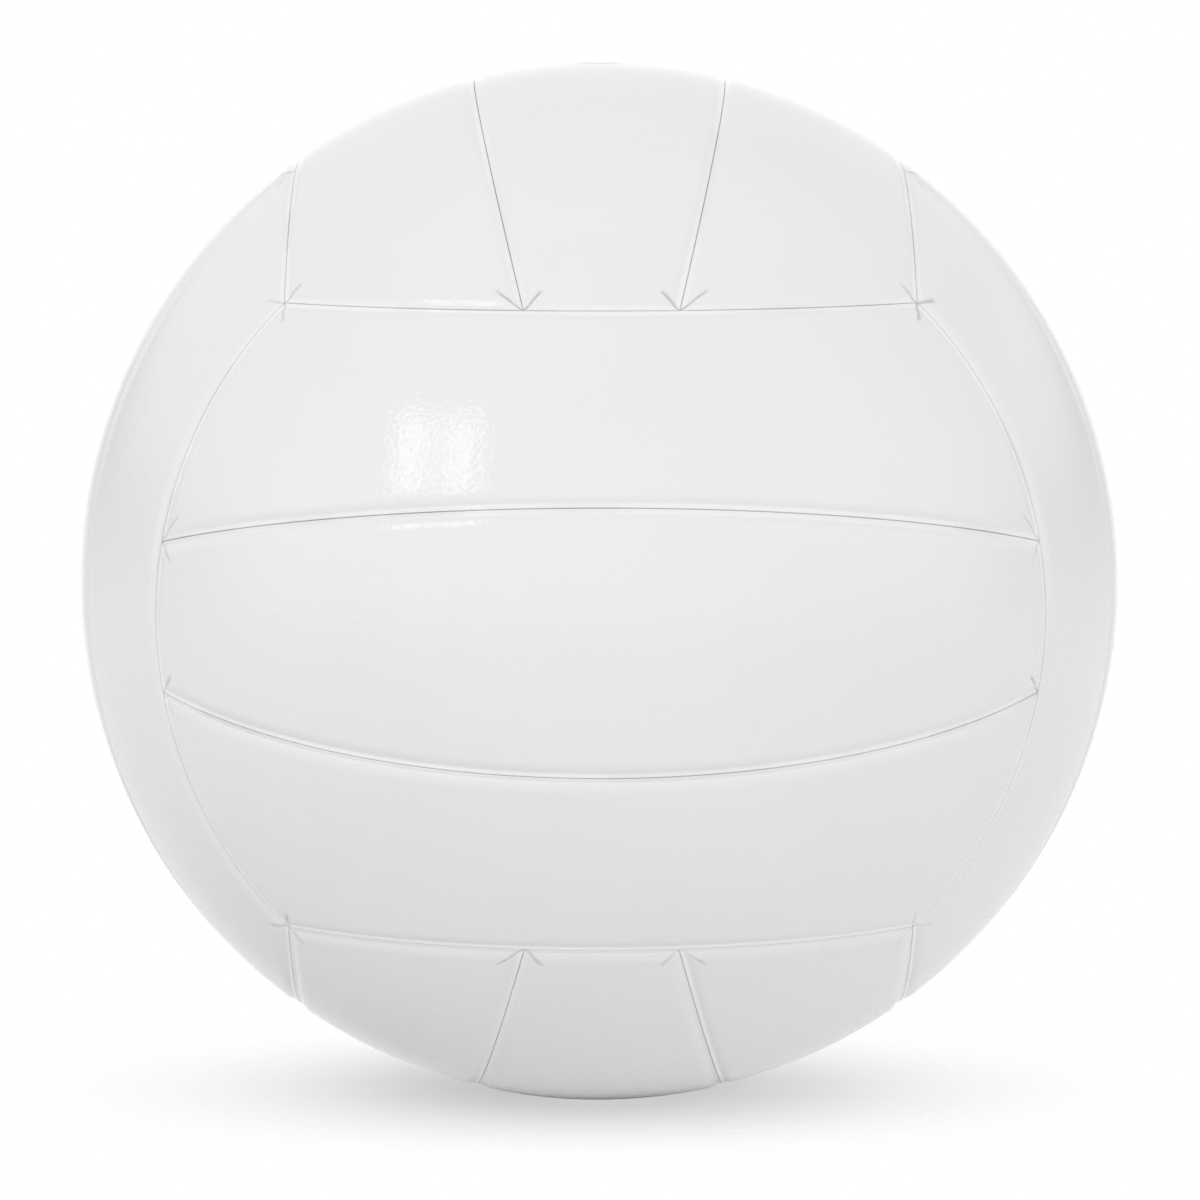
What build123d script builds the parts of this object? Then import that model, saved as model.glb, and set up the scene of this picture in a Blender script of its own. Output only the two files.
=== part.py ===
from build123d import *
import math
import os

# An indoor volleyball: 18 foam-backed panels in six groups of three, laminated on a
# rubber carcass, over a nylon-wound bladder with a needle valve at the top.
# The origin is the centre of the ball, +Z goes up through the valve and the front
# group of panels faces -Y. Millimetres and radians.

# Cover sizes
ball_diameter = 210.1  # over the panels, which makes 660 mm round
skin_thickness = 0.6
foam_thickness = 1.6
panel_end_roll = 1.7  # radius of a panel's rim where it turns into the seam at its ends
panel_side_roll = 2.0  # the same along its two long sides
seam_gap = 0.5  # open line between two rolled rims
middle_panel_width = 51.0  # along the surface, halfway between its ends
middle_panel_end_width = 29.3  # straight across, at either end
glue_line = 0.1  # between one layer and the next

# Carcass sizes
carcass_thickness = 0.7
winding_thickness = 0.5
bladder_thickness = 0.6

# Valve sizes
valve_recess = 0.5  # top of the valve below the panel's surface
housing_diameter = 9.0
housing_length = 15.0
flange_diameter = 30.0
flange_thickness = 1.2
flange_root_radius = 1.0
valve_hole_clearance = 0.2  # between the housing and the layers it passes through
valve_hole_edge_radius = 0.4
plug_head_diameter = 6.4
plug_head_thickness = 1.8
plug_head_edge_radius = 0.4
plug_stem_diameter = 4.4
plug_bulb_diameter = 5.6
plug_bulb_length = 4.0
plug_tip_diameter = 3.2
plug_tip_reach = 1.5  # the plug's tip below the end of its housing
plug_clearance = 0.05  # between the plug and its housing
needle_diameter = 2.0
needle_hole_depth = 11.0
needle_entry_diameter = 3.2
needle_entry_depth = 1.0

# Radii of the layers, from the outside in
ball_radius = ball_diameter / 2
skin_inside = ball_radius - skin_thickness
foam_outside = skin_inside - glue_line
panel_base = foam_outside - foam_thickness
carcass_outside = panel_base - glue_line
carcass_inside = carcass_outside - carcass_thickness
winding_outside = carcass_inside - glue_line
bladder_outside = winding_outside - winding_thickness - glue_line
flange_outside = bladder_outside - bladder_thickness - glue_line
beyond_ball = 1.2 * ball_radius  # reach of the cutting solids
plug_length = housing_length + plug_tip_reach

# The six circles between the groups meet three at a time, at the corners of a cube
# inside the ball, so each one lies at this angle from its group's own axis.
group_angle = math.atan(math.sqrt(2))

# The seam on the +X side of the top group's middle panel is a circle too. Its plane
# holds the Y direction, and these two points in the XZ plane.
middle_half_angle = middle_panel_width / (2 * ball_radius)
seam_top = Vector(math.sin(middle_half_angle), 0, math.cos(middle_half_angle)) * ball_radius
seam_end = Vector(middle_panel_end_width / 2, 0, ball_radius * math.cos(group_angle))
inner_seam_axis = Vector(0, 1, 0).cross(seam_top - seam_end).normalized()
inner_seam_offset = inner_seam_axis.dot(seam_top)

# A rolled rim is a circle that stands proud of the wall and of the surface by a hair, so
# it leaves both of them at this angle.
roll_run_out = math.radians(12)
least_roll = 0.1


def limited_roll(radius):
    """A rim can't roll further down than the panel is thick."""
    return max(least_roll, min(radius, ball_radius - panel_base))


def sphere_across(radius):
    """A ball whose poles lie on the Y axis, clear of the panels cut from it."""
    poles_on_y = Plane(origin=(0, 0, 0), x_dir=(0, 0, -1), z_dir=(0, 1, 0))
    return poles_on_y.location * Sphere(radius)


def group_cone(angle, axis):
    """Cone from the ball's centre that holds everything within an angle of an axis."""
    point_down = Cone(
        0,
        beyond_ball * math.tan(angle),
        beyond_ball,
        align=(Align.CENTER, Align.CENTER, Align.MIN),
    )
    return Plane(origin=(0, 0, 0), z_dir=axis).location * point_down


def polar(radius, angle):
    """Point of the XZ plane at an angle from +Z."""
    return Vector(radius * math.sin(angle), 0, radius * math.cos(angle))


def rim_ring(foot, out, into_panel, radius, axis, section_side):
    """Ring that rolls a panel's rim: foot is the wall's top edge, in half section."""
    centre = foot + (into_panel - out) * (radius * math.cos(roll_run_out))
    at_wall = centre - into_panel * radius
    at_surface = centre + out * radius
    halfway = centre + (out - into_panel).normalized() * radius
    section = [
        ThreePointArc(at_wall, halfway, at_surface),
        Polyline(
            at_surface,
            at_surface + out * radius,
            at_wall - into_panel * radius,
            at_wall,
        ),
    ]
    ring = revolve(make_face(section), Axis.Z)
    return Plane(origin=(0, 0, 0), x_dir=section_side, z_dir=axis).location * ring


def end_ring(outside, inset, roll):
    """Rolls the two ends of every panel of the top group."""
    angle = group_angle - inset / ball_radius
    out = polar(1, angle)
    into_panel = polar(1, angle - math.pi / 2)
    return rim_ring(out * outside, out, into_panel, roll, (0, 0, 1), (-1, 0, 0))


def side_ring(outside, inset, roll):
    """Rolls the long side that an outer panel has against the next group."""
    angle = group_angle + inset / ball_radius
    out = polar(1, angle)
    into_panel = polar(1, angle + math.pi / 2)
    return rim_ring(out * outside, out, into_panel, roll, (1, 0, 0), (0, 0, -1))


def seam_axis(mirrored):
    """Axis of the seam on the +X side of the middle panel, or of its mirror image."""
    return Vector(mirrored * inner_seam_axis.X, 0, inner_seam_axis.Z)


def seam_ring(outside, inset, roll, kept_side, mirrored=1):
    """Rolls a side at an inner seam: kept_side 1 is the outer panel's, -1 the middle's."""
    height = inner_seam_offset + kept_side * inset
    foot = Vector(math.sqrt(outside**2 - height**2), 0, height)
    axis = seam_axis(mirrored)
    under_ball = Vector(0, mirrored, 0).cross(axis)
    into_panel = Vector(0, 0, kept_side)
    return rim_ring(foot, Vector(1, 0, 0), into_panel, roll, axis, under_ball)


def seam_plane(inset, mirrored=1):
    """Plane of an inner seam, moved away from the middle panel by the inset."""
    axis = seam_axis(mirrored)
    return Plane(origin=axis * (inner_seam_offset + inset), x_dir=(0, 1, 0), z_dir=axis)


def group_block(outside, inside, inset, end_roll):
    """Shell over the top group of panels, its two ends cut back by the inset and rolled."""
    shell = sphere_across(outside) - sphere_across(inside)
    shell &= group_cone(group_angle - inset / ball_radius, (0, 0, 1))
    return shell - end_ring(outside, inset, end_roll)


def middle_form(outside, inside, inset, end_roll, side_roll):
    """The middle panel of the top group as one closed form."""
    block = group_block(outside, inside, inset, end_roll)
    for mirrored in (1, -1):
        block = split(block, bisect_by=seam_plane(-inset, mirrored), keep=Keep.BOTTOM)
    for mirrored in (1, -1):
        block -= seam_ring(outside, inset, side_roll, -1, mirrored)
    return block


def outer_form(outside, inside, inset, end_roll, side_roll):
    """The panel on the +X side of the top group as one closed form."""
    block = group_block(outside, inside, inset, end_roll)
    block = split(block, bisect_by=seam_plane(inset), keep=Keep.TOP)
    block -= group_cone(group_angle + inset / ball_radius, (1, 0, 0))
    block -= seam_ring(outside, inset, side_roll, 1)
    block -= side_ring(outside, inset, side_roll)
    return block


def panel_layers(form):
    """The skin of a panel, with its rim folded down, and the foam inside it."""

    def layer(outside, inside, depth):
        return form(
            outside,
            inside,
            seam_gap / 2 + depth,
            limited_roll(panel_end_roll - depth),
            limited_roll(panel_side_roll - depth),
        )

    solid = layer(ball_radius, panel_base, 0)
    hollow = layer(skin_inside, carcass_inside, skin_thickness)
    foam = layer(foam_outside, panel_base, skin_thickness + glue_line)
    return solid - hollow, foam


def layer_ball(outside, thickness):
    """A whole layer of the ball, with the hole that the valve passes through."""
    shell = Sphere(outside) - Sphere(outside - thickness)
    return shell - valve_hole


def valve_profile(offset):
    """Half section of the valve plug, grown all round by an offset."""
    top = ball_radius - valve_recess
    head_bottom = top - plug_head_thickness - offset
    tip = top - plug_length - offset
    bulb_middle = top - plug_length + plug_bulb_length / 2
    bulb_top = top - plug_length + plug_bulb_length + offset
    head = plug_head_diameter / 2 + offset
    stem = plug_stem_diameter / 2 + offset
    bulb = plug_bulb_diameter / 2 + offset
    outline = Polyline(
        (0, 0, top + offset),
        (head, 0, top + offset),
        (head, 0, head_bottom),
        (stem, 0, head_bottom),
        (stem, 0, bulb_top),
        (bulb, 0, bulb_middle),
        (plug_tip_diameter / 2 + offset, 0, tip),
        (0, 0, tip),
        close=True,
    )
    return make_face(outline)


def make_plug():
    """Self-sealing core, with the blind hole that an inflating needle goes into."""
    top = ball_radius - valve_recess
    body = revolve(valve_profile(0), Axis.Z)
    head_rim = body.edges().filter_by(GeomType.CIRCLE).group_by(Axis.Z)[-1]
    body = fillet(head_rim, plug_head_edge_radius)
    hole = Pos(0, 0, top) * Cylinder(
        needle_diameter / 2,
        needle_hole_depth,
        align=(Align.CENTER, Align.CENTER, Align.MAX),
    )
    entry = Pos(0, 0, top) * Cone(
        needle_diameter / 2,
        needle_entry_diameter / 2,
        needle_entry_depth,
        align=(Align.CENTER, Align.CENTER, Align.MAX),
    )
    return body - hole - entry


def make_housing():
    """Neck that holds the plug, on a flange bonded inside the bladder."""
    top = ball_radius - valve_recess
    neck = Pos(0, 0, top) * Cylinder(
        housing_diameter / 2,
        housing_length,
        align=(Align.CENTER, Align.CENTER, Align.MAX),
    )
    disc = Cylinder(
        flange_diameter / 2,
        beyond_ball,
        align=(Align.CENTER, Align.CENTER, Align.MIN),
    )
    flange = (Sphere(flange_outside) - Sphere(flange_outside - flange_thickness)) & disc
    housing = neck + flange
    under_flange = housing.faces().filter_by(GeomType.SPHERE).sort_by(Axis.Z)[0]
    rings = under_flange.edges().filter_by(lambda edge: edge.is_closed)
    root = rings.sort_by(SortBy.LENGTH)[0]
    housing = fillet(root, flange_root_radius)
    return housing - revolve(valve_profile(plug_clearance), Axis.Z)


valve_hole = Cylinder(
    housing_diameter / 2 + valve_hole_clearance,
    beyond_ball,
    align=(Align.CENTER, Align.CENTER, Align.MIN),
)

# Each group: the way it faces, the way its panels lie side by side, and their names
groups = {
    "front": ((0, -1, 0), (0, 0, 1), ("lower", "middle", "upper")),
    "back": ((0, 1, 0), (0, 0, 1), ("lower", "middle", "upper")),
    "left": ((-1, 0, 0), (0, 1, 0), ("front", "middle", "rear")),
    "right": ((1, 0, 0), (0, 1, 0), ("front", "middle", "rear")),
    "top": ((0, 0, 1), (1, 0, 0), ("left", "middle", "right")),
    "bottom": ((0, 0, -1), (1, 0, 0), ("left", "middle", "right")),
}

middle_skin, middle_foam = panel_layers(middle_form)
outer_skin, outer_foam = panel_layers(outer_form)
half_turn = Rot(0, 0, 180)

nodes = {}
for group, (facing, side_by_side, names) in groups.items():
    place = Plane(origin=(0, 0, 0), x_dir=side_by_side, z_dir=facing).location
    first, middle, last = names
    nodes[f"{group}_{first}_panel"] = place * half_turn * outer_skin
    nodes[f"{group}_{first}_foam"] = place * half_turn * outer_foam
    nodes[f"{group}_{middle}_panel"] = place * middle_skin
    nodes[f"{group}_{middle}_foam"] = place * middle_foam
    nodes[f"{group}_{last}_panel"] = place * outer_skin
    nodes[f"{group}_{last}_foam"] = place * outer_foam

# The valve comes out through the middle of the top group
nodes["top_middle_foam"] = nodes["top_middle_foam"] - valve_hole
holed_panel = nodes["top_middle_panel"] - valve_hole
hole_rim = holed_panel.edges().filter_by(lambda edge: edge.is_closed).sort_by(Axis.Z)[-1]
nodes["top_middle_panel"] = fillet(hole_rim, valve_hole_edge_radius)

nodes["carcass"] = layer_ball(carcass_outside, carcass_thickness)
nodes["nylon_winding"] = layer_ball(winding_outside, winding_thickness)
nodes["bladder"] = layer_ball(bladder_outside, bladder_thickness)
nodes["valve_housing"] = make_housing()
nodes["valve_plug"] = make_plug()

os.makedirs("parts", exist_ok=True)
for name, solid in nodes.items():
    export_step(solid, f"parts/{name}.step")
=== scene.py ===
"""Looks of a white indoor volleyball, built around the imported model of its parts."""

import math

import bpy
import numpy as np
from mathutils import Matrix, Vector, noise


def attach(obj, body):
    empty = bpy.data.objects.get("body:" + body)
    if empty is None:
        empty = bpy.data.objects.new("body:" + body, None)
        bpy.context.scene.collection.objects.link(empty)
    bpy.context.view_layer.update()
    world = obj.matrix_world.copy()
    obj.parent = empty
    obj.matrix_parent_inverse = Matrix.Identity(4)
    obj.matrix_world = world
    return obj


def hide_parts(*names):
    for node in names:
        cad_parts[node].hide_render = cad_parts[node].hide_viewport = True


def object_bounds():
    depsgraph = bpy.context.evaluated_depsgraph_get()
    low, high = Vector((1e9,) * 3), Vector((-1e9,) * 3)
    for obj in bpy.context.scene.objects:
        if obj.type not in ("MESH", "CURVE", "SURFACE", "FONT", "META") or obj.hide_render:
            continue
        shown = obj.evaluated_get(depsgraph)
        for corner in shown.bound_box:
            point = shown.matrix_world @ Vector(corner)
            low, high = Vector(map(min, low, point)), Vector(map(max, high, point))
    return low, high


bl_info = {
    "name": "Volleyball Cover and Studio",
    "version": (1, 0, 0),
    "blender": (4, 5, 0),
    "location": "View3D > Sidebar > Volleyball",
    "description": "Covers the volleyball with rolled panels and sets the studio around it",
    "category": "Object",
}

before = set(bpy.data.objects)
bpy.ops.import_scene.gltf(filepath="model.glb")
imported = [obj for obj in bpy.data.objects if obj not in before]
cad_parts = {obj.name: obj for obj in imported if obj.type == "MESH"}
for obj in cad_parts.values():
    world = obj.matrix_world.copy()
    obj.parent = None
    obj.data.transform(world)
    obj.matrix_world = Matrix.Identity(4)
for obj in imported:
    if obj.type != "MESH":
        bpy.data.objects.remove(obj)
CAD_BOX = [list(corner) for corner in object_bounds()]
BALL_RADIUS = (CAD_BOX[1][0] - CAD_BOX[0][0]) / 2

# The circles between the groups of panels pass through the corners of a cube in the ball
GROUP_LEVEL = 1 / math.sqrt(3)
GROUP_ANGLE = math.acos(GROUP_LEVEL)

# Each group: the way it faces, the way its panels lie side by side, and their names
GROUPS = {
    "front": ((0, -1, 0), (0, 0, 1), ("lower", "middle", "upper")),
    "back": ((0, 1, 0), (0, 0, 1), ("lower", "middle", "upper")),
    "left": ((-1, 0, 0), (0, 1, 0), ("front", "middle", "rear")),
    "right": ((1, 0, 0), (0, 1, 0), ("front", "middle", "rear")),
    "top": ((0, 0, 1), (1, 0, 0), ("left", "middle", "right")),
    "bottom": ((0, 0, -1), (1, 0, 0), ("left", "middle", "right")),
}

# Distances of the grid lines from a panel's rim, close together where the rim rolls
RIM_LINES = 0.001 * np.array(
    (0, 0.012, 0.035, 0.07, 0.115, 0.17, 0.23, 0.3, 0.45, 0.65, 0.85, 1.0, 1.2)
    + (1.45, 1.75, 2.05, 2.4, 2.75, 3.1, 3.45, 3.8, 4.15, 4.5, 4.9, 5.6, 6.8)
)
GRID_STEP = 0.0024
FEWEST_GRID_STEPS = 3
SMOOTH_ANGLE = math.radians(60)


class VolleyballCover(bpy.types.PropertyGroup):
    """Sizes and colours of the cover panels."""

    middle_panel_width: bpy.props.FloatProperty(
        name="Middle Panel Width",
        description="Width of a group's middle panel halfway between its ends",
        default=0.051,
        unit="LENGTH",
    )
    middle_panel_end_width: bpy.props.FloatProperty(
        name="Middle Panel End Width",
        description="Width of a group's middle panel at either end",
        default=0.0293,
        unit="LENGTH",
    )
    seam_gap: bpy.props.FloatProperty(
        name="Seam Gap",
        description="Open line between two rolled rims",
        default=0.00003,
        precision=5,
        unit="LENGTH",
    )
    skin_thickness: bpy.props.FloatProperty(
        name="Skin Thickness",
        description="Thickness of the panels' outer skin",
        default=0.0006,
        precision=5,
        unit="LENGTH",
    )
    panel_depth: bpy.props.FloatProperty(
        name="Panel Depth",
        description="From the ball's surface to the foot of a rim",
        default=0.0023,
        precision=5,
        unit="LENGTH",
    )
    roll_radius: bpy.props.FloatProperty(
        name="Roll Radius",
        description="Radius of a rim where it turns down into the seam",
        default=0.00026,
        precision=5,
        unit="LENGTH",
    )
    roll_angle: bpy.props.FloatProperty(
        name="Roll Angle",
        description="Slope of a rim where it meets the next one",
        default=math.radians(80),
        subtype="ANGLE",
    )
    hem_width: bpy.props.FloatProperty(
        name="Hem Width",
        description="Width of the pressed hem along a rim",
        default=0.0009,
        precision=5,
        unit="LENGTH",
    )
    shoulder_width: bpy.props.FloatProperty(
        name="Shoulder Width",
        description="Reach of the slope from the hem up to the panel",
        default=0.0022,
        precision=5,
        unit="LENGTH",
    )
    shoulder_depth: bpy.props.FloatProperty(
        name="Shoulder Depth",
        description="Depth of the hem below the panel",
        default=0.0005,
        precision=5,
        unit="LENGTH",
    )
    bead_height: bpy.props.FloatProperty(
        name="Bead Height",
        description="Rise of the hem towards the seam",
        default=0.00017,
        precision=5,
        unit="LENGTH",
    )
    crease_reach: bpy.props.FloatProperty(
        name="Crease Reach",
        description="How far a corner's mitre crease runs from the panel's sides",
        default=0.0046,
        precision=5,
        unit="LENGTH",
    )
    crease_depth: bpy.props.FloatProperty(
        name="Crease Depth",
        description="Depth of a corner's mitre crease",
        default=0.0004,
        precision=5,
        unit="LENGTH",
    )
    crease_width: bpy.props.FloatProperty(
        name="Crease Width",
        description="Half the width of a corner's mitre crease",
        default=0.0004,
        precision=5,
        unit="LENGTH",
    )
    unevenness: bpy.props.FloatProperty(
        name="Unevenness",
        description="Height of the gentle waves in the foam under the skin",
        default=0.00007,
        precision=6,
        unit="LENGTH",
    )
    valve_hole_radius: bpy.props.FloatProperty(
        name="Valve Hole Radius",
        description="Radius of the hole in the top middle panel",
        default=0.0047,
        precision=5,
        unit="LENGTH",
    )
    skin_colour: bpy.props.FloatVectorProperty(
        name="Skin Colour",
        description="White of the cover's synthetic leather",
        default=(0.722, 0.716, 0.719),
        subtype="COLOR",
        min=0,
        max=1,
    )
    # Paler skin along the hems: a painted highlight on the rims
    hem_highlight_colour: bpy.props.FloatVectorProperty(
        name="Hem Colour",
        description="Paler skin of the pressed hems",
        default=(0.758, 0.752, 0.755),
        subtype="COLOR",
        min=0,
        max=1,
    )
    # Grey of the tiny specks, and of the painted shade in the seams and creases
    speck_and_seam_shade_colour: bpy.props.FloatVectorProperty(
        name="Seam Colour",
        description="Grey of the dust that settles in seams and creases",
        default=(0.36, 0.355, 0.35),
        subtype="COLOR",
        min=0,
        max=1,
    )


class VolleyballUnderLayers(bpy.types.PropertyGroup):
    """Colours of the layers under the cover and of the valve."""

    foam_colour: bpy.props.FloatVectorProperty(
        name="Foam Colour",
        description="Foam bonded under a panel's skin",
        default=(0.78, 0.75, 0.68),
        subtype="COLOR",
        min=0,
        max=1,
    )
    carcass_colour: bpy.props.FloatVectorProperty(
        name="Carcass Colour",
        description="Rubber ball that the panels are laminated on",
        default=(0.13, 0.125, 0.12),
        subtype="COLOR",
        min=0,
        max=1,
    )
    thread_colour: bpy.props.FloatVectorProperty(
        name="Thread Colour",
        description="Nylon thread wound round the bladder",
        default=(0.72, 0.70, 0.63),
        subtype="COLOR",
        min=0,
        max=1,
    )
    bladder_colour: bpy.props.FloatVectorProperty(
        name="Bladder Colour",
        description="Butyl rubber of the bladder and the valve housing",
        default=(0.028, 0.028, 0.03),
        subtype="COLOR",
        min=0,
        max=1,
    )
    valve_colour: bpy.props.FloatVectorProperty(
        name="Valve Colour",
        description="Soft rubber of the valve plug",
        default=(0.66, 0.66, 0.64),
        subtype="COLOR",
        min=0,
        max=1,
    )


class VolleyballStudio(bpy.types.PropertyGroup):
    """Camera, lights and floor."""

    camera_distance: bpy.props.FloatProperty(
        name="Camera Distance",
        description="From the camera to the ball's centre",
        default=1.075,
        unit="LENGTH",
    )
    camera_elevation: bpy.props.FloatProperty(
        name="Camera Elevation",
        description="Angle of the camera above the ball's middle",
        default=math.radians(6.55),
        subtype="ANGLE",
    )
    camera_azimuth: bpy.props.FloatProperty(
        name="Camera Azimuth",
        description="Angle of the camera to the right of the front",
        default=math.radians(-0.3),
        subtype="ANGLE",
    )
    camera_lens: bpy.props.FloatProperty(
        name="Camera Lens",
        description="Focal length in millimetres on a 36 mm sensor",
        default=158.5,
    )
    front_room_light: bpy.props.FloatProperty(
        name="Front Room Light",
        description="Strength of the even light from the camera's side of the room",
        default=1.45,
    )
    top_room_light: bpy.props.FloatProperty(
        name="Top Room Light",
        description="Strength of the even light from overhead",
        default=0.95,
    )
    backdrop_light: bpy.props.FloatProperty(
        name="Backdrop Light",
        description="Strength of the backdrop at the ball's level",
        default=0.54,
    )
    high_backdrop_light: bpy.props.FloatProperty(
        name="High Backdrop Light",
        description="Strength of the backdrop above the ball's level",
        default=1.0,
    )
    backdrop_centre_light: bpy.props.FloatProperty(
        name="Backdrop Centre Light",
        description="Strength of the light from the white sheet right behind the ball",
        default=1.1,
    )
    table_light: bpy.props.FloatProperty(
        name="Table Light",
        description="Strength of the light from the white table round the ball",
        default=0.92,
    )
    low_left_light: bpy.props.FloatProperty(
        name="Low Left Light",
        description="Strength of the even light from the lower left",
        default=0.5,
    )
    low_right_light: bpy.props.FloatProperty(
        name="Low Right Light",
        description="Strength of the even light from the lower right",
        default=1.0,
    )
    window_power: bpy.props.FloatProperty(
        name="Window",
        description="Power of the two-pane window light at the front left, in watts",
        default=1.0,
    )
    floor_blocking: bpy.props.FloatProperty(
        name="Floor Blocking",
        description="Share of the low light that the floor round the touch point holds back",
        default=0.35,
    )
    shadow_strength: bpy.props.FloatProperty(
        name="Shadow Strength",
        description="How strongly the shadow shows on the white floor",
        default=1.0,
    )
    floor_colour: bpy.props.FloatVectorProperty(
        name="Floor Colour",
        description="White of the studio floor",
        default=(0.9, 0.9, 0.9),
        subtype="COLOR",
        min=0,
        max=1,
    )


def deselect_all():
    if bpy.context.object and bpy.context.object.mode != "OBJECT":
        bpy.ops.object.mode_set(mode="OBJECT")
    bpy.ops.object.select_all(action="DESELECT")


def pick(piece):
    """Makes a piece the only selected one, and the active one."""
    deselect_all()
    piece.select_set(True)
    bpy.context.view_layer.objects.active = piece


def read_points(mesh):
    points = np.empty(len(mesh.vertices) * 3, np.float32)
    mesh.vertices.foreach_get("co", points)
    return points.reshape(-1, 3).astype(float)


def write_points(mesh, points):
    mesh.vertices.foreach_set("co", points.astype(np.float32).ravel())
    mesh.update()


def smooth_step(values):
    values = np.clip(values, 0, 1)
    return values * values * (3 - 2 * values)


def inner_seam(cover):
    """Axis and level, on a ball of radius 1, of the seam on the +X side of the top middle panel."""
    half = cover.middle_panel_width / (2 * BALL_RADIUS)
    top = np.array((math.sin(half), 0, math.cos(half)))
    end = np.array((cover.middle_panel_end_width / (2 * BALL_RADIUS), 0, GROUP_LEVEL))
    along = top - end
    axis = np.array((along[2], 0, -along[0])) / np.linalg.norm(along)
    return axis, float(axis @ top)


def panel_rows(shape, cover):
    """Planes that cut the grid's long lines: parallel to each side near it, blended between."""
    axis, level = inner_seam(cover)
    seam_angle = math.acos(level)
    steps = (cover.seam_gap / 2 + RIM_LINES) / BALL_RADIUS
    if shape == "middle":
        mirrored = axis * np.array((1, 1, -1))
        first = [(mirrored, math.cos(math.acos(-level) - step)) for step in steps]
        last = [(axis, math.cos(seam_angle + step)) for step in steps[::-1]]
        width = cover.middle_panel_width
    else:
        across = np.array((1.0, 0, 0))
        first = [(axis, math.cos(seam_angle - step)) for step in steps]
        last = [(across, math.cos(GROUP_ANGLE + step)) for step in steps[::-1]]
        width = BALL_RADIUS * (math.pi / 2 - GROUP_ANGLE) - cover.middle_panel_width / 2
    between = []
    count = max(FEWEST_GRID_STEPS, round((width - 2 * RIM_LINES[-1]) / GRID_STEP))
    for share in np.linspace(0, 1, count + 1)[1:-1]:
        normal = (1 - share) * first[-1][0] + share * last[0][0]
        offset = (1 - share) * first[-1][1] + share * last[0][1]
        size = np.linalg.norm(normal)
        between.append((normal / size, offset / size))
    return first + between + last


def panel_grid(shape, cover):
    """Points of a panel's grid on a ball of radius 1, row by row."""
    steps = (cover.seam_gap / 2 + RIM_LINES) / BALL_RADIUS
    end_levels = np.cos(GROUP_ANGLE - steps)
    inner_count = round(2 * (BALL_RADIUS * GROUP_ANGLE - RIM_LINES[-1]) / GRID_STEP)
    shares = np.linspace(-1, 1, inner_count + 1)[1:-1]
    rows = []
    for normal, level in panel_rows(shape, cover):
        radius = math.sqrt(1 - level**2)
        up = np.array((-normal[2], 0, normal[0]))
        rims = np.arccos((end_levels - normal[2] * level) / (radius * up[2]))
        angles = np.concatenate((-rims, shares * rims[-1], rims[::-1]))
        circle = np.outer(np.cos(angles), up) + np.outer(np.sin(angles), (0, 1, 0))
        rows.append(normal * level + radius * circle)
    return np.array(rows)


def rim_distances(directions, shape, cover):
    """Distances over the ball from a panel's nearer side and from its nearer end."""
    axis, level = inner_seam(cover)
    seam_angle = math.acos(level)
    to_end = GROUP_ANGLE - np.arccos(np.clip(directions[:, 2], -1, 1))
    from_seam = np.arccos(np.clip(directions @ axis, -1, 1)) - seam_angle
    if shape == "middle":
        mirrored = directions * np.array((-1, 1, 1))
        from_mirror = np.arccos(np.clip(mirrored @ axis, -1, 1)) - seam_angle
        to_side = np.minimum(from_seam, from_mirror)
    else:
        from_group = np.arccos(np.clip(directions[:, 0], -1, 1)) - GROUP_ANGLE
        to_side = np.minimum(-from_seam, from_group)
    half_gap = cover.seam_gap / 2
    to_side = np.maximum(to_side * BALL_RADIUS - half_gap, 0)
    to_end = np.maximum(to_end * BALL_RADIUS - half_gap, 0)
    return to_side, to_end


def rim_drop(distance, cover):
    """How far the surface lies below the ball at a distance from one rim."""
    radius = cover.roll_radius
    inside = np.maximum(radius * math.sin(cover.roll_angle) - distance, 0)
    roll = radius - np.sqrt(radius**2 - inside**2)
    climb = np.clip((distance - cover.hem_width) / cover.shoulder_width, 0, 1)
    bead = cover.bead_height * smooth_step(1 - distance / cover.hem_width)
    return roll + cover.shoulder_depth * (1 - climb) ** 2 - bead


def crease_mask(to_side, to_end, cover):
    """1 along the bottom of a corner's mitre crease, 0 off it, with a small pit at its far end."""
    fading_length = 0.25 * cover.crease_reach
    pit_place = 0.85 * cover.crease_reach
    pit_radius = 1.6 * cover.crease_width
    pit_squeeze = 1.4
    pit_depth = 0.8
    along = np.sqrt(to_side * to_end)
    off_line = np.abs(to_side - to_end)
    line = np.clip(1 - off_line / cover.crease_width, 0, 1)
    line = line * smooth_step((cover.crease_reach - along) / fading_length)
    from_pit = np.hypot(off_line, pit_squeeze * (along - pit_place))
    pit = pit_depth * np.clip(1 - from_pit / pit_radius, 0, 1)
    return np.maximum(line, pit)


def add_blank(name, shape, cover):
    """A flat sheet of skin, laid on the ball and rolled at its rims."""
    grid = panel_grid(shape, cover)
    rows, columns = grid.shape[:2]
    deselect_all()
    bpy.ops.mesh.primitive_grid_add(x_subdivisions=rows - 1, y_subdivisions=columns - 1, size=2)
    blank = bpy.context.object
    blank.name = name
    flat = read_points(blank.data)
    row = np.rint((flat[:, 0] + 1) / 2 * (rows - 1)).astype(int)
    column = np.rint((flat[:, 1] + 1) / 2 * (columns - 1)).astype(int)
    directions = grid[row, column]
    to_side, to_end = rim_distances(directions, shape, cover)
    drop = np.maximum(rim_drop(to_side, cover), rim_drop(to_end, cover))
    write_points(blank.data, directions * (BALL_RADIUS - drop)[:, None])
    return blank


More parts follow.
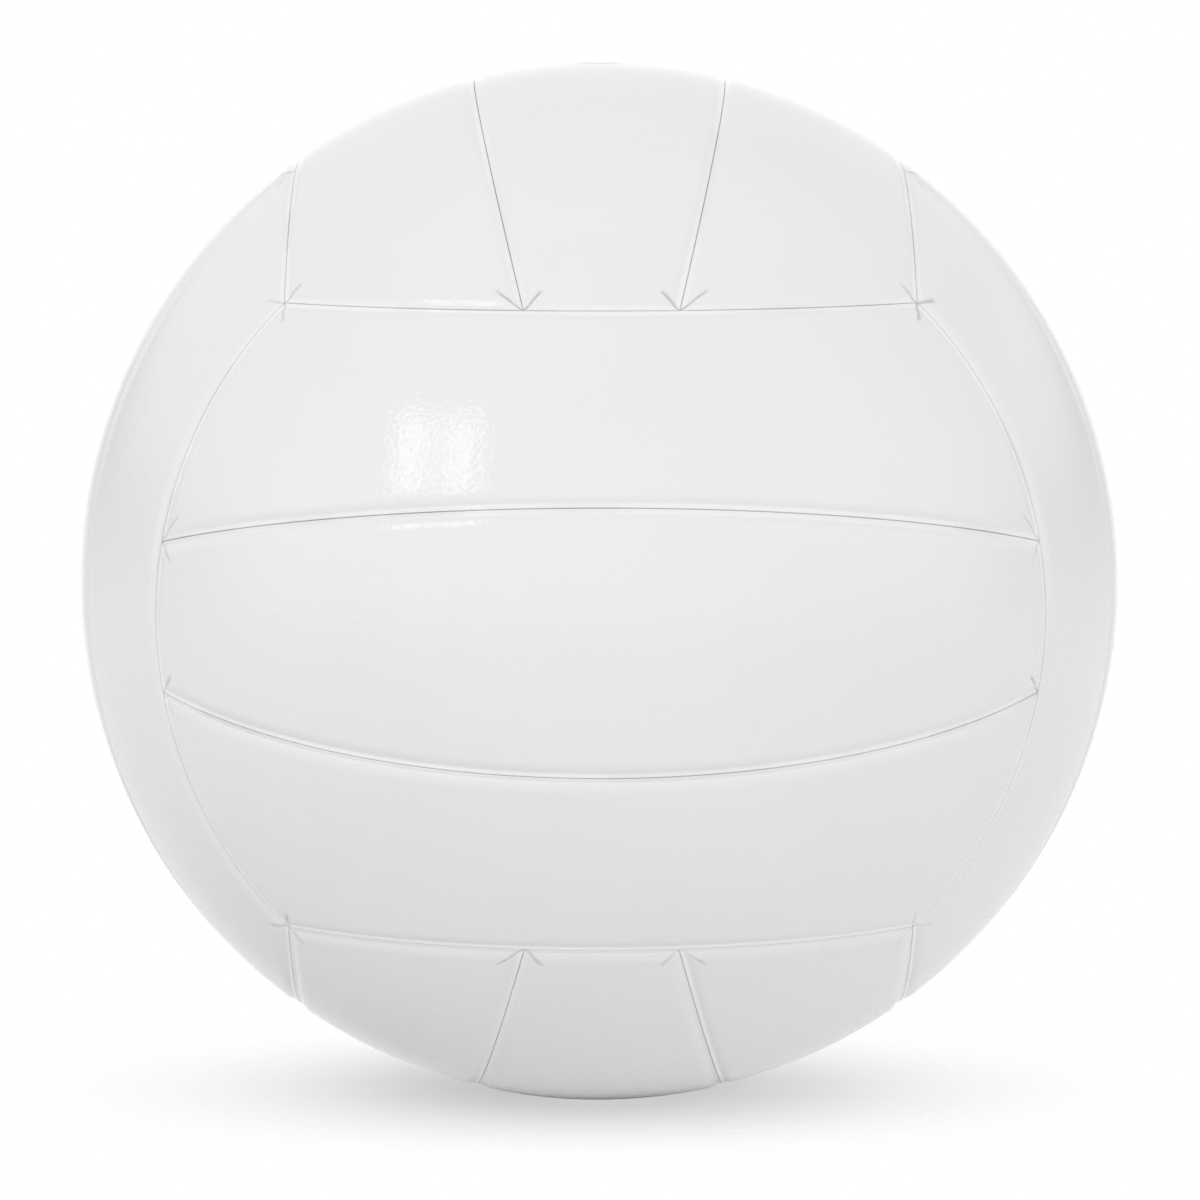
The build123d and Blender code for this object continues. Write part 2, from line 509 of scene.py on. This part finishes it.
def cut_valve_hole(blank, cover):
    """Opens the round hole for the valve, its edge turned down and in."""
    radius = cover.valve_hole_radius
    lip = 0.0003
    fine_reach = 2.1 * radius
    cut_reach = 1.06 * radius
    edge_reach = 1.2 * radius
    pick(blank)
    bpy.ops.object.mode_set(mode="EDIT")
    bpy.ops.mesh.select_mode(type="FACE")
    bpy.ops.mesh.select_all(action="DESELECT")
    bpy.ops.object.mode_set(mode="OBJECT")
    for face in blank.data.polygons:
        face.select = math.hypot(face.center.x, face.center.y) < fine_reach
    bpy.ops.object.mode_set(mode="EDIT")
    bpy.ops.mesh.subdivide(number_cuts=4)
    bpy.ops.mesh.select_all(action="DESELECT")
    bpy.ops.object.mode_set(mode="OBJECT")
    near = [math.hypot(point.co.x, point.co.y) < cut_reach for point in blank.data.vertices]
    for face in blank.data.polygons:
        face.select = any(near[index] for index in face.vertices)
    bpy.ops.object.mode_set(mode="EDIT")
    bpy.ops.mesh.delete(type="FACE")
    bpy.ops.object.mode_set(mode="OBJECT")
    points = read_points(blank.data)
    across = np.hypot(points[:, 0], points[:, 1])
    ring = hole_edge(blank.data, across < edge_reach)
    scale = (radius + lip) / across[ring]
    points[ring, 0] *= scale
    points[ring, 1] *= scale
    points[ring] *= (BALL_RADIUS / np.linalg.norm(points[ring], axis=1))[:, None]
    write_points(blank.data, points)
    select_points(blank, ring)
    for inwards, fall in ((0.7 * lip, 0.3 * lip), (0.3 * lip, lip)):
        shrink = 1 - inwards / radius
        bpy.ops.mesh.extrude_region_move()
        bpy.ops.transform.resize(value=(shrink, shrink, 1), center_override=(0, 0, 0))
        bpy.ops.transform.translate(value=(0, 0, -fall))
    bpy.ops.object.mode_set(mode="OBJECT")


def hole_edge(mesh, nearby):
    """Numbers of the points round an opening, among the nearby ones."""
    uses = {}
    for face in mesh.polygons:
        for key in face.edge_keys:
            uses[key] = uses.get(key, 0) + 1
    found = {index for key, count in uses.items() if count == 1 for index in key if nearby[index]}
    return np.array(sorted(found))


def select_points(piece, numbers):
    """Goes into edit mode with the edges between these points selected."""
    pick(piece)
    bpy.ops.object.mode_set(mode="EDIT")
    bpy.ops.mesh.select_mode(type="EDGE")
    bpy.ops.mesh.select_all(action="DESELECT")
    bpy.ops.object.mode_set(mode="OBJECT")
    chosen = set(int(number) for number in numbers)
    for edge in piece.data.edges:
        edge.select = edge.vertices[0] in chosen and edge.vertices[1] in chosen
    bpy.ops.object.mode_set(mode="EDIT")


def fold_rim(blank, cover):
    """Folds the rim down into the seam, towards the ball's centre."""
    points = read_points(blank.data)
    past_valve = np.hypot(points[:, 0], points[:, 1]) > 3 * cover.valve_hole_radius
    rim = hole_edge(blank.data, past_valve)
    rim_radius = float(np.mean(np.linalg.norm(points[rim], axis=1)))
    select_points(blank, rim)
    scale = (BALL_RADIUS - cover.panel_depth) / rim_radius
    bpy.ops.mesh.extrude_region_move()
    bpy.ops.transform.resize(value=(scale, scale, scale), center_override=(0, 0, 0))
    bpy.ops.object.mode_set(mode="OBJECT")


def thicken(blank, shape, cover):
    """Gives the skin its thickness and notes where its seams and creases are."""
    pick(blank)
    solidify = blank.modifiers.new("Skin", "SOLIDIFY")
    solidify.thickness = cover.skin_thickness
    solidify.offset = -1
    bpy.ops.object.modifier_apply(modifier=solidify.name)
    bpy.ops.object.shade_smooth_by_angle(angle=SMOOTH_ANGLE)
    points = read_points(blank.data)
    directions = points / np.linalg.norm(points, axis=1)[:, None]
    to_side, to_end = rim_distances(directions, shape, cover)
    nearest = np.minimum(to_side, to_end)
    crease = crease_mask(to_side, to_end, cover)
    for name, values in (("rim_distance", nearest), ("crease", crease)):
        attribute = blank.data.attributes.new(name, "FLOAT", "POINT")
        attribute.data.foreach_set("value", values.astype(np.float32))


def waves(points, scale):
    """Smooth random heights, about -1 to 1, that repeat on every run."""
    return np.array([noise.noise(Vector(point) * scale) for point in points])


def make_uneven(piece, cover):
    """Gentle waves of the foam under the skin, and corner creases, some sharp and some faint."""
    calm_rim = 0.006
    wave_scale = 38
    ripple_scale = 95
    ripple_share = 0.45
    patch_scale = 75
    patch_level = 0.75
    patch_range = 1.1
    mesh = piece.data
    points = read_points(mesh)
    distance = np.empty(len(mesh.vertices), np.float32)
    mesh.attributes["rim_distance"].data.foreach_get("value", distance)
    swell = waves(points, wave_scale) + ripple_share * waves(points, ripple_scale)
    swell = smooth_step(distance / calm_rim) * swell
    crease = np.empty(len(mesh.vertices), np.float32)
    mesh.attributes["crease"].data.foreach_get("value", crease)
    patches = waves(points + BALL_RADIUS, patch_scale)
    crease = crease * smooth_step(patch_level + patch_range * patches)
    mesh.attributes["crease"].data.foreach_set("value", crease.astype(np.float32))
    rise = cover.unevenness * swell - cover.crease_depth * crease
    write_points(mesh, points * (1 + rise / BALL_RADIUS)[:, None])


def place_panel(node, master, turn, material, cover):
    """Copies a finished panel to its place on the ball."""
    piece = master.copy()
    piece.data = master.data.copy()
    piece.name = node.replace("_panel", "_cover")
    piece.data.name = piece.name
    bpy.context.scene.collection.objects.link(piece)
    piece.data.transform(turn)
    make_uneven(piece, cover)
    piece.data.materials.clear()
    piece.data.materials.append(material)
    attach(piece, "root")
    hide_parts(node)


class Nodes:
    """Short way to add and join the nodes of one tree."""

    def __init__(self, tree):
        self.tree = tree

    def add(self, kind, sources=None, **settings):
        node = self.tree.nodes.new(kind)
        for name, value in settings.items():
            setattr(node, name, value)
        for socket, source in (sources or {}).items():
            self.join(source, node.inputs[socket])
        return node

    def join(self, source, socket):
        if isinstance(source, bpy.types.NodeSocket):
            self.tree.links.new(source, socket)
        else:
            socket.default_value = source

    def math(self, operation, first, second):
        return self.add("ShaderNodeMath", {0: first, 1: second}, operation=operation).outputs[0]

    def mix(self, share, first, second):
        node = self.add("ShaderNodeMix", data_type="RGBA")
        for socket, source in ((0, share), (6, first), (7, second)):
            self.join(source, node.inputs[socket])
        return node.outputs[2]

    def blend(self, share, first, second):
        return self.add("ShaderNodeMix", {0: share, 2: first, 3: second}).outputs[0]

    def span(self, value, low, high, to_low=0.0, to_high=1.0):
        sources = {0: value, 1: low, 2: high, 3: to_low, 4: to_high}
        return self.add("ShaderNodeMapRange", sources, interpolation_type="SMOOTHSTEP").outputs[0]


def new_group(name, inputs, outputs):
    """A node group with its sockets, ready to be filled."""
    tree = bpy.data.node_groups.new(name, "ShaderNodeTree")
    for socket, kind, value in inputs:
        made = tree.interface.new_socket(socket, in_out="INPUT", socket_type=kind)
        if value is not None:
            made.default_value = value
    for socket, kind in outputs:
        tree.interface.new_socket(socket, in_out="OUTPUT", socket_type=kind)
    nodes = Nodes(tree)
    return tree, nodes, nodes.add("NodeGroupInput").outputs, nodes.add("NodeGroupOutput").inputs


def fine_grain_group():
    """Fine grain over a softer peel, as a height and a mask."""
    if "Fine Grain" in bpy.data.node_groups:
        return bpy.data.node_groups["Fine Grain"]
    tree, nodes, given, result = new_group(
        "Fine Grain",
        (
            ("Vector", "NodeSocketVector", None),
            ("Grain Scale", "NodeSocketFloat", 2600.0),
            ("Peel Scale", "NodeSocketFloat", 420.0),
            ("Peel Share", "NodeSocketFloat", 0.6),
        ),
        (("Height", "NodeSocketFloat"), ("Mask", "NodeSocketFloat")),
    )
    grain = nodes.add(
        "ShaderNodeTexNoise",
        {"Vector": given["Vector"], "Scale": given["Grain Scale"], "Detail": 2.0, "Roughness": 0.5},
    ).outputs[0]
    peel = nodes.add(
        "ShaderNodeTexNoise",
        {"Vector": given["Vector"], "Scale": given["Peel Scale"], "Detail": 1.0, "Roughness": 0.4},
    ).outputs[0]
    rest = nodes.math("SUBTRACT", 1.0, given["Peel Share"])
    height = nodes.math(
        "ADD",
        nodes.math("MULTIPLY", peel, given["Peel Share"]),
        nodes.math("MULTIPLY", grain, rest),
    )
    nodes.join(height, result["Height"])
    mask_edges = (0.35, 0.65)
    nodes.join(nodes.span(grain, *mask_edges), result["Mask"])
    return tree


def mottle_group():
    """Two close colours that drift into each other over the surface."""
    if "Soft Mottle" in bpy.data.node_groups:
        return bpy.data.node_groups["Soft Mottle"]
    tree, nodes, given, result = new_group(
        "Soft Mottle",
        (
            ("Vector", "NodeSocketVector", None),
            ("Scale", "NodeSocketFloat", 30.0),
            ("Colour", "NodeSocketColor", (0.8, 0.8, 0.8, 1)),
            ("Drift Colour", "NodeSocketColor", (0.7, 0.7, 0.7, 1)),
        ),
        (("Colour", "NodeSocketColor"), ("Mask", "NodeSocketFloat")),
    )
    clouds = nodes.add(
        "ShaderNodeTexNoise",
        {"Vector": given["Vector"], "Scale": given["Scale"], "Detail": 4.0, "Roughness": 0.55},
    ).outputs[0]
    mask_edges = (0.15, 0.85)
    mask = nodes.span(clouds, *mask_edges)
    nodes.join(nodes.mix(mask, given["Colour"], given["Drift Colour"]), result["Colour"])
    nodes.join(mask, result["Mask"])
    return tree


def with_alpha(colour, scale=1.0):
    return (*[channel * scale for channel in colour], 1.0)


def new_material(name, colour):
    """A material with its shader, and the place on the piece as a vector."""
    material = bpy.data.materials.new(name)
    material.use_nodes = True
    material.diffuse_color = with_alpha(colour)
    nodes = Nodes(material.node_tree)
    shader = material.node_tree.nodes["Principled BSDF"]
    place = nodes.add("ShaderNodeTexCoord").outputs["Object"]
    return material, nodes, shader, place


def add_bump(nodes, shader, height, strength, distance):
    bump = nodes.add(
        "ShaderNodeBump", {"Height": height, "Strength": strength, "Distance": distance}
    )
    nodes.join(bump.outputs[0], shader.inputs["Normal"])


def add_mottle(nodes, place, scale, colour, drift_shade):
    """Places the mottle group, which drifts from a colour to a shade of it."""
    sources = {
        "Vector": place,
        "Scale": scale,
        "Colour": with_alpha(colour),
        "Drift Colour": with_alpha(colour, drift_shade),
    }
    return nodes.add("ShaderNodeGroup", sources, node_tree=mottle_group()).outputs


def add_grain(nodes, place, grain_scale, peel_scale, peel_share):
    """Places the grain group."""
    sources = {
        "Vector": place,
        "Grain Scale": grain_scale,
        "Peel Scale": peel_scale,
        "Peel Share": peel_share,
    }
    return nodes.add("ShaderNodeGroup", sources, node_tree=fine_grain_group()).outputs


def cover_skin_material(cover):
    """Smooth satin synthetic leather: a faint peel, tiny specks, pale hems that are a painted
    highlight, and painted shade in the seams and creases.
    """
    speck_edges = (0.02, 0.07)
    speck_rarity = 0.94
    speck_strength = 0.1
    patch_edges = (0.35, 0.65)
    hem_edges = (0.9 * cover.hem_width, 1.5 * cover.hem_width)
    bottom_heights = (-0.08, 0.0)
    low_seam_shade = 0.22
    seam_shade = 0.5
    patch_seam_shade = 0.3
    low_crease_shade = 0.35
    crease_shade = 0.6
    roughness_range = (0.08, 0.11)
    # One grey for the tiny specks and for the painted shade in the seams and creases
    dirt_and_shade = with_alpha(cover.speck_and_seam_shade_colour)
    material, nodes, shader, place = new_material("cover_skin_white", cover.skin_colour)
    mottle = add_mottle(nodes, place, scale=26.0, colour=cover.skin_colour, drift_shade=0.975)
    specks = nodes.add("ShaderNodeTexVoronoi", {"Vector": place, "Scale": 210.0}, feature="F1").outputs
    chance = nodes.add("ShaderNodeSeparateColor", {0: specks["Color"]}).outputs[0]
    rare = nodes.math("GREATER_THAN", chance, speck_rarity)
    speck = nodes.math("MULTIPLY", nodes.span(specks["Distance"], *speck_edges, 1.0, 0.0), rare)
    speck = nodes.math("MULTIPLY", speck, speck_strength)
    colour = nodes.mix(speck, mottle["Colour"], dirt_and_shade)
    rim = nodes.add("ShaderNodeAttribute", attribute_name="rim_distance").outputs["Fac"]
    # Random patches: on them the hems get more painted highlight and the seams less painted shade
    pressed = nodes.span(mottle["Mask"], *patch_edges)
    # Towards the ball's bottom the hems get more painted highlight and the seams and creases less
    # painted shade
    height = nodes.add("ShaderNodeSeparateXYZ", {0: place}).outputs["Z"]
    above_bottom = nodes.span(height, *bottom_heights)
    near_bottom = nodes.math("SUBTRACT", 1.0, above_bottom)
    # Paler hems along the rims: a painted highlight
    hem = nodes.span(rim, *hem_edges, 1.0, 0.0)
    hem = nodes.math("MULTIPLY", hem, nodes.math("MAXIMUM", pressed, near_bottom))
    colour = nodes.mix(hem, colour, with_alpha(cover.hem_highlight_colour))
    # Painted shade at the bottom of each seam
    painted_shade = nodes.blend(above_bottom, low_seam_shade, nodes.blend(pressed, seam_shade, patch_seam_shade))
    seam = nodes.math("MULTIPLY", nodes.span(rim, 0.0, cover.roll_radius, 1.0, 0.0), painted_shade)
    colour = nodes.mix(seam, colour, dirt_and_shade)
    # Painted shade along the corner creases
    crease = nodes.add("ShaderNodeAttribute", attribute_name="crease").outputs["Fac"]
    crease = nodes.math("MULTIPLY", crease, nodes.blend(above_bottom, low_crease_shade, crease_shade))
    colour = nodes.mix(crease, colour, dirt_and_shade)
    nodes.join(colour, shader.inputs["Base Color"])
    grain = add_grain(nodes, place, grain_scale=1000.0, peel_scale=300.0, peel_share=0.3)
    rough = nodes.span(mottle["Mask"], 0.0, 1.0, *roughness_range)
    nodes.join(rough, shader.inputs["Roughness"])
    add_bump(nodes, shader, grain["Height"], strength=0.3, distance=0.0003)
    shader.inputs["Specular IOR Level"].default_value = 0.5
    return material


def foam_material(layers):
    """Cut face of closed-cell foam."""
    pore_edges = (0.1, 0.6)
    pore_shade = 0.85
    pore_roughness = 0.95
    wall_roughness = 0.8
    material, nodes, shader, place = new_material("foam_backing_cream", layers.foam_colour)
    mottle = add_mottle(nodes, place, scale=60.0, colour=layers.foam_colour, drift_shade=0.9)
    cells = nodes.add("ShaderNodeTexVoronoi", {"Vector": place, "Scale": 2200.0}).outputs["Distance"]
    # Darker pore centres: painted shade in the pores
    pores = nodes.span(cells, *pore_edges, pore_shade, 1.0)
    shade = nodes.add("ShaderNodeMix", data_type="RGBA", blend_type="MULTIPLY")
    nodes.join(1.0, shade.inputs[0])
    nodes.join(mottle["Colour"], shade.inputs[6])
    nodes.join(pores, shade.inputs[7])
    nodes.join(shade.outputs[2], shader.inputs["Base Color"])
    rough = nodes.span(cells, 0.0, pore_edges[1], pore_roughness, wall_roughness)
    nodes.join(rough, shader.inputs["Roughness"])
    add_bump(nodes, shader, cells, strength=0.5, distance=0.0002)
    return material


def rubber_material(name, colour, roughness, grain_scale, bump):
    """Moulded rubber: mottled bloom over a fine grain."""
    roughness_spread = 0.06
    peel_scale = grain_scale / 6
    material, nodes, shader, place = new_material(name, colour)
    mottle = add_mottle(nodes, place, scale=55.0, colour=colour, drift_shade=0.86)
    nodes.join(mottle["Colour"], shader.inputs["Base Color"])
    grain = add_grain(nodes, place, grain_scale, peel_scale, peel_share=0.4)
    least, most = roughness - roughness_spread, roughness + roughness_spread
    nodes.join(nodes.span(grain["Mask"], 0.0, 1.0, least, most), shader.inputs["Roughness"])
    add_bump(nodes, shader, grain["Height"], strength=bump, distance=0.0002)
    return material


def winding_material(layers):
    """Nylon thread wound over and over in many directions."""
    turns = ((0.3, 0.2, 0.0), (1.2, 0.5, 0.9), (0.7, 1.9, 2.1))
    gap_shade = 0.55
    gap_roughness = 0.7
    thread_roughness = 0.42
    material, nodes, shader, place = new_material("nylon_thread_wound", layers.thread_colour)
    height = None
    for turn in turns:
        turned = nodes.add("ShaderNodeMapping", {"Vector": place, "Rotation": turn}).outputs[0]
        threads = nodes.add(
            "ShaderNodeTexWave",
            {"Vector": turned, "Scale": 420.0, "Distortion": 1.2, "Detail": 1.0},
        ).outputs["Fac"]
        height = threads if height is None else nodes.math("MAXIMUM", height, threads)
    # Darker gaps between the threads: painted shade
    gaps = with_alpha(layers.thread_colour, gap_shade)
    colour = nodes.mix(height, gaps, with_alpha(layers.thread_colour))
    nodes.join(colour, shader.inputs["Base Color"])
    rough = nodes.span(height, 0.0, 1.0, gap_roughness, thread_roughness)
    nodes.join(rough, shader.inputs["Roughness"])
    add_bump(nodes, shader, height, strength=0.8, distance=0.0004)
    return material


def give_material(node, material):
    """Puts a material on a CAD node."""
    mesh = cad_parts[node].data
    mesh.materials.clear()
    mesh.materials.append(material)


class VOLLEYBALL_OT_cover_panels(bpy.types.Operator):
    """Make the eighteen cover panels, their rims rolled into the seams"""

    bl_idname = "volleyball.cover_panels"
    bl_label = "Cover Panels"

    def execute(self, context):
        cover = context.scene.volleyball_cover
        material = cover_skin_material(cover)
        masters = {}
        for name, shape in (("middle", "middle"), ("outer", "outer"), ("valve", "middle")):
            blank = add_blank(f"{name}_blank", shape, cover)
            if name == "valve":
                cut_valve_hole(blank, cover)
            fold_rim(blank, cover)
            thicken(blank, shape, cover)
            masters[name] = blank
        half_turn = Matrix.Rotation(math.pi, 4, "Z")
        for group, (facing, side, names) in GROUPS.items():
            run = Vector(facing).cross(Vector(side))
            turn = Matrix((side, run, facing)).transposed().to_4x4()
            first, middle, last = (f"{group}_{name}_panel" for name in names)
            middle_master = masters["valve" if group == "top" else "middle"]
            place_panel(first, masters["outer"], turn @ half_turn, material, cover)
            place_panel(middle, middle_master, turn, material, cover)
            place_panel(last, masters["outer"], turn, material, cover)
        for master in masters.values():
            bpy.data.objects.remove(master)
        return {"FINISHED"}


class VOLLEYBALL_OT_under_layers(bpy.types.Operator):
    """Finish the foam, the carcass, the winding, the bladder and the valve"""

    bl_idname = "volleyball.under_layers"
    bl_label = "Layers Under the Cover"

    def execute(self, context):
        layers = context.scene.volleyball_under_layers
        foam = foam_material(layers)
        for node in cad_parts:
            if node.endswith("_foam"):
                give_material(node, foam)
        carcass = rubber_material(
            "carcass_rubber_grey", layers.carcass_colour, roughness=0.72, grain_scale=1500.0, bump=0.25
        )
        bladder = rubber_material(
            "bladder_rubber_black", layers.bladder_colour, roughness=0.45, grain_scale=900.0, bump=0.12
        )
        valve = rubber_material(
            "valve_rubber_white", layers.valve_colour, roughness=0.55, grain_scale=2200.0, bump=0.15
        )
        give_material("carcass", carcass)
        give_material("nylon_winding", winding_material(layers))
        give_material("bladder", bladder)
        give_material("valve_housing", bladder)
        give_material("valve_plug", valve)
        return {"FINISHED"}


def aim(item, spot):
    """Turns a camera or light to face a spot."""
    away = item.location - Vector(spot)
    item.rotation_euler = away.to_track_quat("Z", "Y").to_euler()


def add_pane(name, direction, distance, size, power, roll):
    """A flat area light that faces the ball, rolled about the line to it."""
    lamp = bpy.data.lights.new(name, "AREA")
    lamp.shape = "RECTANGLE"
    lamp.size, lamp.size_y = size
    lamp.energy = power
    box = bpy.data.objects.new(name, lamp)
    bpy.context.scene.collection.objects.link(box)
    box.location = Vector(direction).normalized() * distance
    aim(box, (0, 0, 0))
    box.rotation_euler.rotate_axis("Z", roll)


class VOLLEYBALL_OT_studio(bpy.types.Operator):
    """Set the white floor, the lit room, its window and the camera"""

    bl_idname = "volleyball.studio"
    bl_label = "Studio"

    def execute(self, context):
        studio = context.scene.volleyball_studio
        self.add_floor(studio)
        self.add_lights(context.scene, studio)
        self.add_camera(context.scene, studio)
        return {"FINISHED"}

    def add_floor(self, studio):
        """A white floor that fades into the room; the camera sees it only where the shadow lies."""
        touch_edges = (0.015, 0.045)
        fading_edges = (0.12, 0.6)
        shadow_place = {"Location": (0.03, 0, 0), "Scale": (8.0, 14, 14)}
        core_reach = 0.05
        core_strength = 0.35
        deselect_all()
        bpy.ops.mesh.primitive_circle_add(
            vertices=96, radius=1, fill_type="NGON", location=(0, 0, -BALL_RADIUS)
        )
        floor = bpy.context.object
        floor.name = "studio_floor"
        material, nodes, shader, place = new_material("studio_floor_white", studio.floor_colour)
        mottle = add_mottle(nodes, place, scale=8.0, colour=studio.floor_colour, drift_shade=0.99)
        nodes.join(mottle["Colour"], shader.inputs["Base Color"])
        shader.inputs["Roughness"].default_value = 0.9
        outwards = nodes.add("ShaderNodeVectorMath", {0: place}, operation="LENGTH").outputs["Value"]
        touch = nodes.span(outwards, *touch_edges, 1.0, studio.floor_blocking)
        solid = nodes.math("MULTIPLY", touch, nodes.span(outwards, *fading_edges, 1.0, 0.0))
        shadow = nodes.add("ShaderNodeMapping", {"Vector": place, **shadow_place}).outputs[0]
        reach = nodes.add("ShaderNodeVectorMath", {0: shadow}, operation="LENGTH").outputs["Value"]
        fading = nodes.span(reach, 0.0, 1.0, studio.shadow_strength, 0.0)
        core = nodes.span(outwards, 0.0, core_reach, core_strength, 1.0)
        seen_solid = nodes.math("MULTIPLY", fading, core)
        seen = nodes.add("ShaderNodeLightPath").outputs["Is Camera Ray"]
        nodes.join(nodes.blend(seen, solid, seen_solid), shader.inputs["Alpha"])
        floor.data.materials.append(material)

    def add_lights(self, scene, studio):
        pane_distance = 1.2
        pane_size = (0.145, 0.36)
        panes = (
            ("window_left", (-0.618, -0.621, 0.482), math.radians(14.7)),
            ("window_right", (-0.468, -0.725, 0.506), math.radians(10.9)),
        )
        pane_power = studio.window_power / len(panes)
        self.light_room(scene, studio)
        for name, direction, roll in panes:
            add_pane(name, direction, pane_distance, pane_size, pane_power, roll)
        scene.view_settings.view_transform = "Standard"
        scene.view_settings.look = "None"

    def light_room(self, scene, studio):
        """A white room, lit unevenly; the camera sees plain white."""
        backdrop_heights = (0.0, 0.3)
        low_sides = (-0.5, 0.5)
        front_to_back = (-0.3, 0.3)
        overhead_heights = (0.3, 0.8)
        table_heights = (-0.2, 0.1)
        low_heights = (-0.65, -0.35)
        centre_edges = (0.93, 0.985)
        world = bpy.data.worlds.new("white_room")
        world.use_nodes = True
        scene.world = world
        nodes = Nodes(world.node_tree)
        background = world.node_tree.nodes["Background"]
        direction = nodes.add("ShaderNodeTexCoord").outputs["Generated"]
        axes = nodes.add("ShaderNodeSeparateXYZ", {0: direction}).outputs
        backdrop = nodes.span(
            axes["Z"], *backdrop_heights, studio.backdrop_light, studio.high_backdrop_light
        )
        low = nodes.span(axes["X"], *low_sides, studio.low_left_light, studio.low_right_light)
        room = nodes.blend(nodes.span(axes["Y"], *front_to_back), studio.front_room_light, backdrop)
        room = nodes.blend(nodes.span(axes["Z"], *overhead_heights), room, studio.top_room_light)
        room = nodes.blend(nodes.span(axes["Z"], *table_heights), studio.table_light, room)
        room = nodes.blend(nodes.span(axes["Z"], *low_heights), low, room)
        room = nodes.blend(nodes.span(axes["Y"], *centre_edges), room, studio.backdrop_centre_light)
        seen = nodes.add("ShaderNodeLightPath").outputs["Is Camera Ray"]
        strength = nodes.blend(seen, room, 1.0)
        nodes.join((1, 1, 1, 1), background.inputs["Color"])
        nodes.join(strength, background.inputs["Strength"])

    def add_camera(self, scene, studio):
        eye = bpy.data.cameras.new("photo_camera")
        eye.sensor_width = 36
        eye.lens = studio.camera_lens
        eye.shift_x = 0.0006
        eye.shift_y = -0.0158
        eye.clip_start = 0.05
        camera = bpy.data.objects.new("photo_camera", eye)
        scene.collection.objects.link(camera)
        level = math.cos(studio.camera_elevation)
        camera.location = studio.camera_distance * Vector(
            (
                level * math.sin(studio.camera_azimuth),
                -level * math.cos(studio.camera_azimuth),
                math.sin(studio.camera_elevation),
            )
        )
        aim(camera, (0, 0, 0))
        scene.camera = camera


class VOLLEYBALL_PT_sidebar(bpy.types.Panel):
    """Steps that dress the volleyball"""

    bl_idname = "VOLLEYBALL_PT_sidebar"
    bl_label = "Volleyball"
    bl_space_type = "VIEW_3D"
    bl_region_type = "UI"
    bl_category = "Volleyball"

    def draw(self, context):
        scene = context.scene
        for step, settings in (
            (VOLLEYBALL_OT_cover_panels, scene.volleyball_cover),
            (VOLLEYBALL_OT_under_layers, scene.volleyball_under_layers),
            (VOLLEYBALL_OT_studio, scene.volleyball_studio),
        ):
            box = self.layout.box()
            box.operator(step.bl_idname)
            for name in settings.__annotations__:
                box.prop(settings, name)


CLASSES = (
    VolleyballCover,
    VolleyballUnderLayers,
    VolleyballStudio,
    VOLLEYBALL_OT_cover_panels,
    VOLLEYBALL_OT_under_layers,
    VOLLEYBALL_OT_studio,
    VOLLEYBALL_PT_sidebar,
)


def register():
    for item in CLASSES:
        bpy.utils.register_class(item)
    bpy.types.Scene.volleyball_cover = bpy.props.PointerProperty(type=VolleyballCover)
    bpy.types.Scene.volleyball_under_layers = bpy.props.PointerProperty(type=VolleyballUnderLayers)
    bpy.types.Scene.volleyball_studio = bpy.props.PointerProperty(type=VolleyballStudio)


def unregister():
    del bpy.types.Scene.volleyball_studio
    del bpy.types.Scene.volleyball_under_layers
    del bpy.types.Scene.volleyball_cover
    for item in reversed(CLASSES):
        bpy.utils.unregister_class(item)


def main():
    register()
    bpy.ops.volleyball.cover_panels()
    bpy.ops.volleyball.under_layers()
    bpy.ops.volleyball.studio()


if __name__ == "__main__":
    main()
